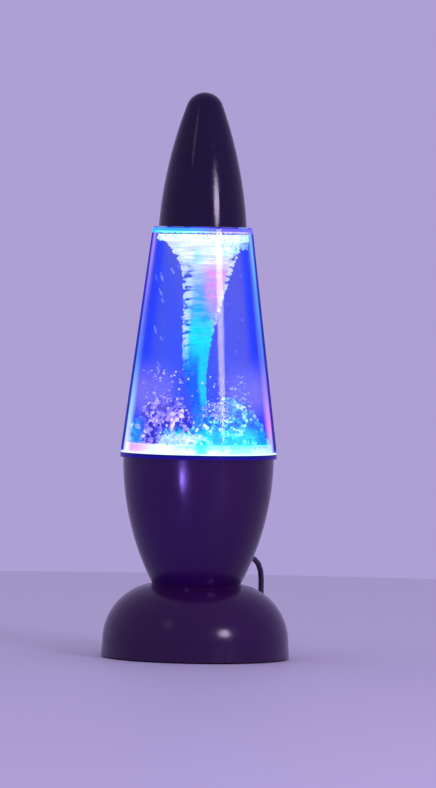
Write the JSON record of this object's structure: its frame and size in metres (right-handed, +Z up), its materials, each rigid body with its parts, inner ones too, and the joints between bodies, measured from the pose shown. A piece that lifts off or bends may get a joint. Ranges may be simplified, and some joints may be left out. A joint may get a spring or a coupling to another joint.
{
  "type": "tornado lamp",
  "caption": "Table lamp with a whirl of lit water in a tapered clear vessel, on an egg-cup base with a domed foot and a bullet-shaped lift-off cap.",
  "frame": {"origin": "on the lamp's axis, at the surface that it stands on", "axes": "+Z up along the axis, -Y to the front, +X to the viewer's right; the switch is at +Y"},
  "size_m": [0.1134, 0.1832, 0.34],
  "materials": {
    "housing": "high gloss aubergine black",
    "base": "fine matt grain",
    "clear": "clear, polished",
    "light_floor": "milky, lit from below",
    "water": "lit blue water",
    "foam": "lit bubbles, lavender to cyan",
    "whirl": "lit foam, white to blue",
    "white_plastic": "satin white",
    "dark_plastic": "fine matt grain",
    "rubber": "soft matt",
    "silicone": "translucent, soft",
    "seal": "soft matt",
    "cord": "satin sheath",
    "wire": "satin sheath",
    "steel": "bright zinc",
    "magnet": "plated",
    "brass": "tinned brass",
    "board": "solder mask",
    "lights": "clear dome"
  },
  "bodies": {
    "lamp": {"foot": "housing", "cup": "housing", "base_plate": "base", "vessel": "clear", "light_floor": "light_floor", "water": "water", "foam": "foam", "keeper": "white_plastic", "plug_tongue": "white_plastic", "bracket": "dark_plastic", "motor_end": "dark_plastic", "switch_body": "dark_plastic", "coil_tie": "dark_plastic", "pads": "rubber", "strain_relief": "rubber", "gasket": "silicone", "cord_lead": "cord", "cord_coil": "cord", "cord_tail": "cord", "plug_grip": "cord", "wiring": "wire", "base_screws": "steel", "waist_screws": "steel", "spindle": "steel", "motor_can": "steel", "motor_screws": "steel", "bracket_screws": "steel", "switch_nut": "steel", "plug_shell": "steel", "motor_terminals": "brass", "switch_terminals": "brass", "light_board": "board", "lights_group": "lights"},
    "cap": {"cap": "housing"},
    "filler": {"stopper": "rubber", "stopper_washer": "seal"},
    "rotor": {"motor_shaft": "steel", "drive_disc": "white_plastic", "drive_magnets": "magnet"},
    "stirrer": {"impeller": "white_plastic", "impeller_magnets": "magnet", "whirl": "whirl"},
    "button": {"switch_button": "dark_plastic"}
  },
  "joints": [
    {"name": "cap_lift", "type": "slide", "parent": "lamp", "child": "cap", "axis": [0, 0, 1], "range_m": [0, 0.06]},
    {"name": "stopper_lift", "type": "slide", "parent": "lamp", "child": "filler", "axis": [0, 0, 1], "range_m": [0, 0.018]},
    {"name": "stirrer_spin", "type": "hinge", "parent": "lamp", "child": "stirrer", "pos_m": [0, 0, 0.13], "axis": [0, 0, 1], "continuous": true},
    {"name": "motor_spin", "type": "hinge", "parent": "lamp", "child": "rotor", "pos_m": [0, 0, 0.09], "axis": [0, 0, 1], "continuous": true},
    {"name": "button_press", "type": "slide", "parent": "lamp", "child": "button", "axis": [0, -1, 0], "range_m": [0, 0.002], "stiffness_N_per_m": 300}
  ],
  "couplings": [
    {"joint": "motor_spin", "follows": "stirrer_spin", "ratio": 1}
  ]
}
